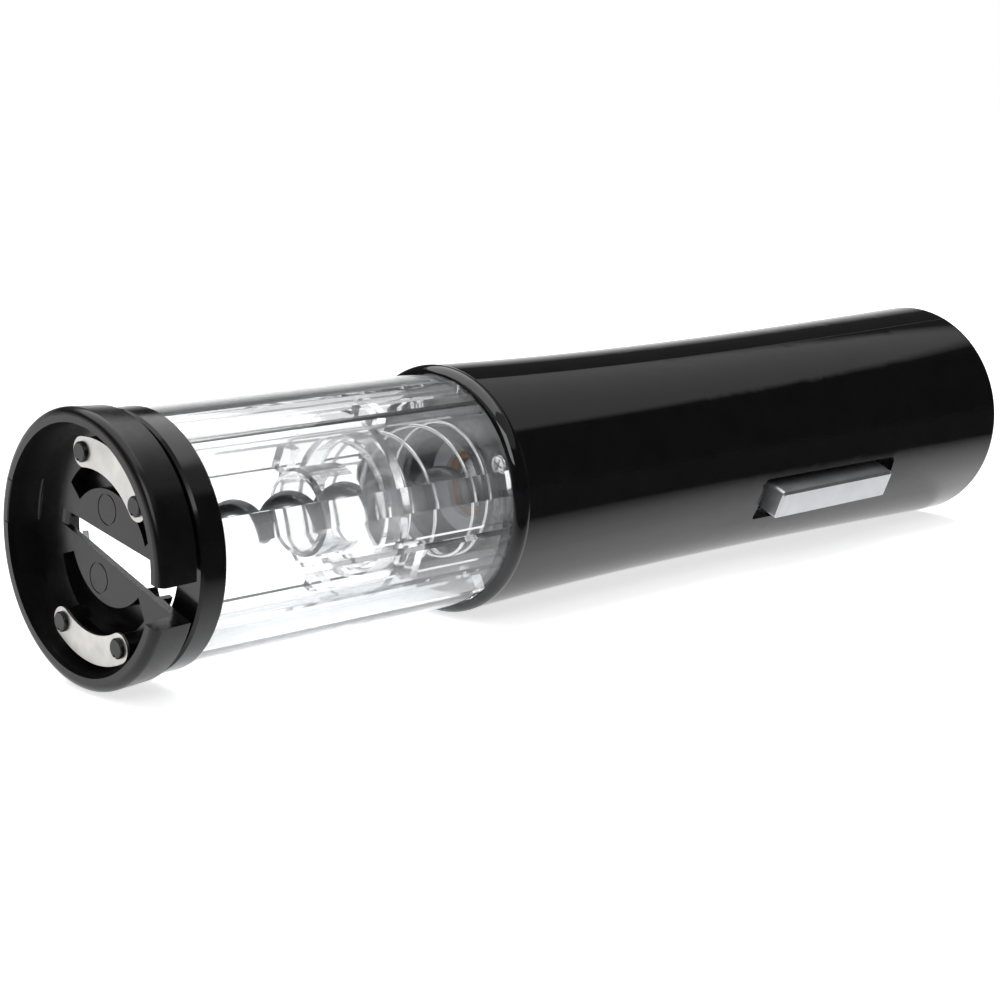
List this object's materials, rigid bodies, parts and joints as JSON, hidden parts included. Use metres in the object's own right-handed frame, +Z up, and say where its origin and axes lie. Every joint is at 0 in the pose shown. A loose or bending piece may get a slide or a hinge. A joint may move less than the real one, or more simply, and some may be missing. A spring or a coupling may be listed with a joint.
{
  "type": "electric wine opener",
  "caption": "Battery wine opener lying on its side: waisted two-shell handle with rocker button, clear bottle tube with worm and sprung cork guide, and a squeeze foil cutter.",
  "frame": {"origin": "on the opener's axis in the plane of the foil cutter's front rim", "axes": "+X along the axis from the bottle end to the closed rear end, +Z up with the opener lying level on its side, the rocker button facing -Y and a little down"},
  "size_m": [0.246, 0.0519, 0.0514],
  "materials": {
    "satin_black": "satin moulded black plastic",
    "ring_black": "semi-gloss black plastic",
    "gloss_black": "high-gloss black plastic",
    "clear_plastic": "clear polished plastic",
    "blade_steel": "satin stainless plate",
    "bright_steel": "bright steel",
    "worm_black": "black non-stick coated steel",
    "shaft_steel": "turned steel",
    "grey_plastic": "light grey plastic",
    "bronze": "sintered bronze",
    "gear_nylon": "natural nylon",
    "sun_steel": "sintered steel",
    "motor_steel": "zinc-plated drawn steel",
    "magnet": "dark ferrite",
    "armature_steel": "laminated iron",
    "copper": "enamelled copper",
    "cell_sleeve": "printed-free plain metal sleeve",
    "silver_button": "satin silver paint",
    "board_green": "green circuit board",
    "switch_black": "black switch case",
    "plunger_grey": "grey switch button",
    "wire_red": "insulated wire"
  },
  "bodies": {
    "handle": {"front_shell": "gloss_black", "back_shell": "gloss_black", "clear_tube": "clear_plastic", "mouth_ring": "ring_black", "gearbox_front_plate": "satin_black", "bearing_retainer": "grey_plastic", "output_bush": "bronze", "plate_screws": "bright_steel", "ring_gear_housing": "gear_nylon", "gearbox_rear_plate": "satin_black", "motor_can": "motor_steel", "motor_magnets": "magnet", "motor_end_bell": "satin_black", "motor_brushes": "copper", "motor_terminals": "bright_steel", "motor_leads": "wire_red", "battery_leads": "wire_red", "battery_tray": "satin_black", "battery_cell_1": "cell_sleeve", "battery_cell_2": "cell_sleeve", "battery_cell_3": "cell_sleeve", "battery_cell_4": "cell_sleeve", "contact_springs": "bright_steel", "contact_plates": "bright_steel", "shell_screws": "bright_steel", "switch_board": "board_green", "switch_case_front": "switch_black", "switch_case_rear": "switch_black", "button_pivot_pin": "bright_steel", "guide_spring": "bright_steel"},
    "cutter": {"cutter_jaw_lower": "satin_black", "cutter_hinge_web": "satin_black", "blade_lower": "blade_steel"},
    "cutter_upper": {"cutter_jaw_upper": "satin_black", "blade_upper": "blade_steel"},
    "guide": {"cork_guide": "clear_plastic"},
    "worm_drive": {"worm": "worm_black", "output_shaft": "shaft_steel", "output_carrier": "shaft_steel", "output_planet_pins": "bright_steel"},
    "middle_stage": {"middle_carrier": "shaft_steel", "middle_planet_pins": "bright_steel", "middle_sun": "sun_steel"},
    "rotor": {"motor_shaft": "bright_steel", "motor_armature": "armature_steel", "motor_windings": "copper", "motor_commutator": "bronze", "motor_pinion": "sun_steel"},
    "button": {"rocker_button": "silver_button"},
    "plunger_front": {"switch_plunger_front": "plunger_grey"},
    "plunger_rear": {"switch_plunger_rear": "plunger_grey"},
    "door": {"battery_door": "gloss_black"},
    "output_planet_a": {"output_planet_a": "gear_nylon"},
    "output_planet_b": {"output_planet_b": "gear_nylon"},
    "output_planet_c": {"output_planet_c": "gear_nylon"},
    "middle_planet_a": {"middle_planet_a": "gear_nylon"},
    "middle_planet_b": {"middle_planet_b": "gear_nylon"},
    "middle_planet_c": {"middle_planet_c": "gear_nylon"}
  },
  "joints": [
    {"name": "rotor_spin", "type": "hinge", "parent": "handle", "child": "rotor", "pos_m": [0.14, 0, 0], "axis": [1, 0, 0], "continuous": true},
    {"name": "middle_stage_spin", "type": "hinge", "parent": "handle", "child": "middle_stage", "pos_m": [0.1115, 0, 0], "axis": [1, 0, 0], "continuous": true},
    {"name": "worm_spin", "type": "hinge", "parent": "handle", "child": "worm_drive", "pos_m": [0.097, 0, 0], "axis": [1, 0, 0], "continuous": true},
    {"name": "output_planet_a_spin", "type": "hinge", "parent": "worm_drive", "child": "output_planet_a", "pos_m": [0.1066, -0.00352, 0.00828], "axis": [1, 0, 0], "continuous": true},
    {"name": "output_planet_b_spin", "type": "hinge", "parent": "worm_drive", "child": "output_planet_b", "pos_m": [0.1066, -0.00542, -0.00719], "axis": [1, 0, 0], "continuous": true},
    {"name": "output_planet_c_spin", "type": "hinge", "parent": "worm_drive", "child": "output_planet_c", "pos_m": [0.1066, 0.00893, -0.0011], "axis": [1, 0, 0], "continuous": true},
    {"name": "middle_planet_a_spin", "type": "hinge", "parent": "middle_stage", "child": "middle_planet_a", "pos_m": [0.1156, -0.00352, 0.00828], "axis": [1, 0, 0], "continuous": true},
    {"name": "middle_planet_b_spin", "type": "hinge", "parent": "middle_stage", "child": "middle_planet_b", "pos_m": [0.1156, -0.00542, -0.00719], "axis": [1, 0, 0], "continuous": true},
    {"name": "middle_planet_c_spin", "type": "hinge", "parent": "middle_stage", "child": "middle_planet_c", "pos_m": [0.1156, 0.00893, -0.0011], "axis": [1, 0, 0], "continuous": true},
    {"name": "guide_slide", "type": "slide", "parent": "handle", "child": "guide", "axis": [1, 0, 0], "range_m": [0, 0.012], "stiffness_N_per_m": 350, "springref_m": -0.004, "deforming": ["guide_spring"]},
    {"name": "cutter_pull", "type": "slide", "parent": "handle", "child": "cutter", "axis": [-1, 0, 0], "range_m": [0, 0.06]},
    {"name": "jaw_squeeze", "type": "hinge", "parent": "cutter", "child": "cutter_upper", "pos_m": [0.004, 0.02338, 0.00626], "axis": [1, 0, 0], "range_deg": [0, 5], "stiffness_Nm_per_rad": 0.2, "springref_deg": -2.86, "deforming": ["cutter_hinge_web"]},
    {"name": "button_rock", "type": "hinge", "parent": "handle", "child": "button", "pos_m": [0.1825, -0.01905, -0.00809], "axis": [0, -0.3907, 0.9205], "range_deg": [-2.5, 2.5], "stiffness_Nm_per_rad": 0.1},
    {"name": "plunger_front_press", "type": "slide", "parent": "handle", "child": "plunger_front", "axis": [0, 0.9205, 0.3907], "range_m": [0, 0.00025], "stiffness_N_per_m": 1500, "springref_m": -0.0003},
    {"name": "plunger_rear_press", "type": "slide", "parent": "handle", "child": "plunger_rear", "axis": [0, 0.9205, 0.3907], "range_m": [0, 0.00025], "stiffness_N_per_m": 1500, "springref_m": -0.0003},
    {"name": "door_lift", "type": "slide", "parent": "handle", "child": "door", "axis": [0, 0.9205, 0.3907], "range_m": [0, 0.03]}
  ],
  "couplings": [
    {"joint": "middle_stage_spin", "follows": "rotor_spin", "ratio": 0.125},
    {"joint": "worm_spin", "follows": "rotor_spin", "ratio": 0.015625},
    {"joint": "output_planet_a_spin", "follows": "rotor_spin", "ratio": -0.036458},
    {"joint": "output_planet_b_spin", "follows": "rotor_spin", "ratio": -0.036458},
    {"joint": "output_planet_c_spin", "follows": "rotor_spin", "ratio": -0.036458},
    {"joint": "middle_planet_a_spin", "follows": "rotor_spin", "ratio": -0.29167},
    {"joint": "middle_planet_b_spin", "follows": "rotor_spin", "ratio": -0.29167},
    {"joint": "middle_planet_c_spin", "follows": "rotor_spin", "ratio": -0.29167}
  ]
}
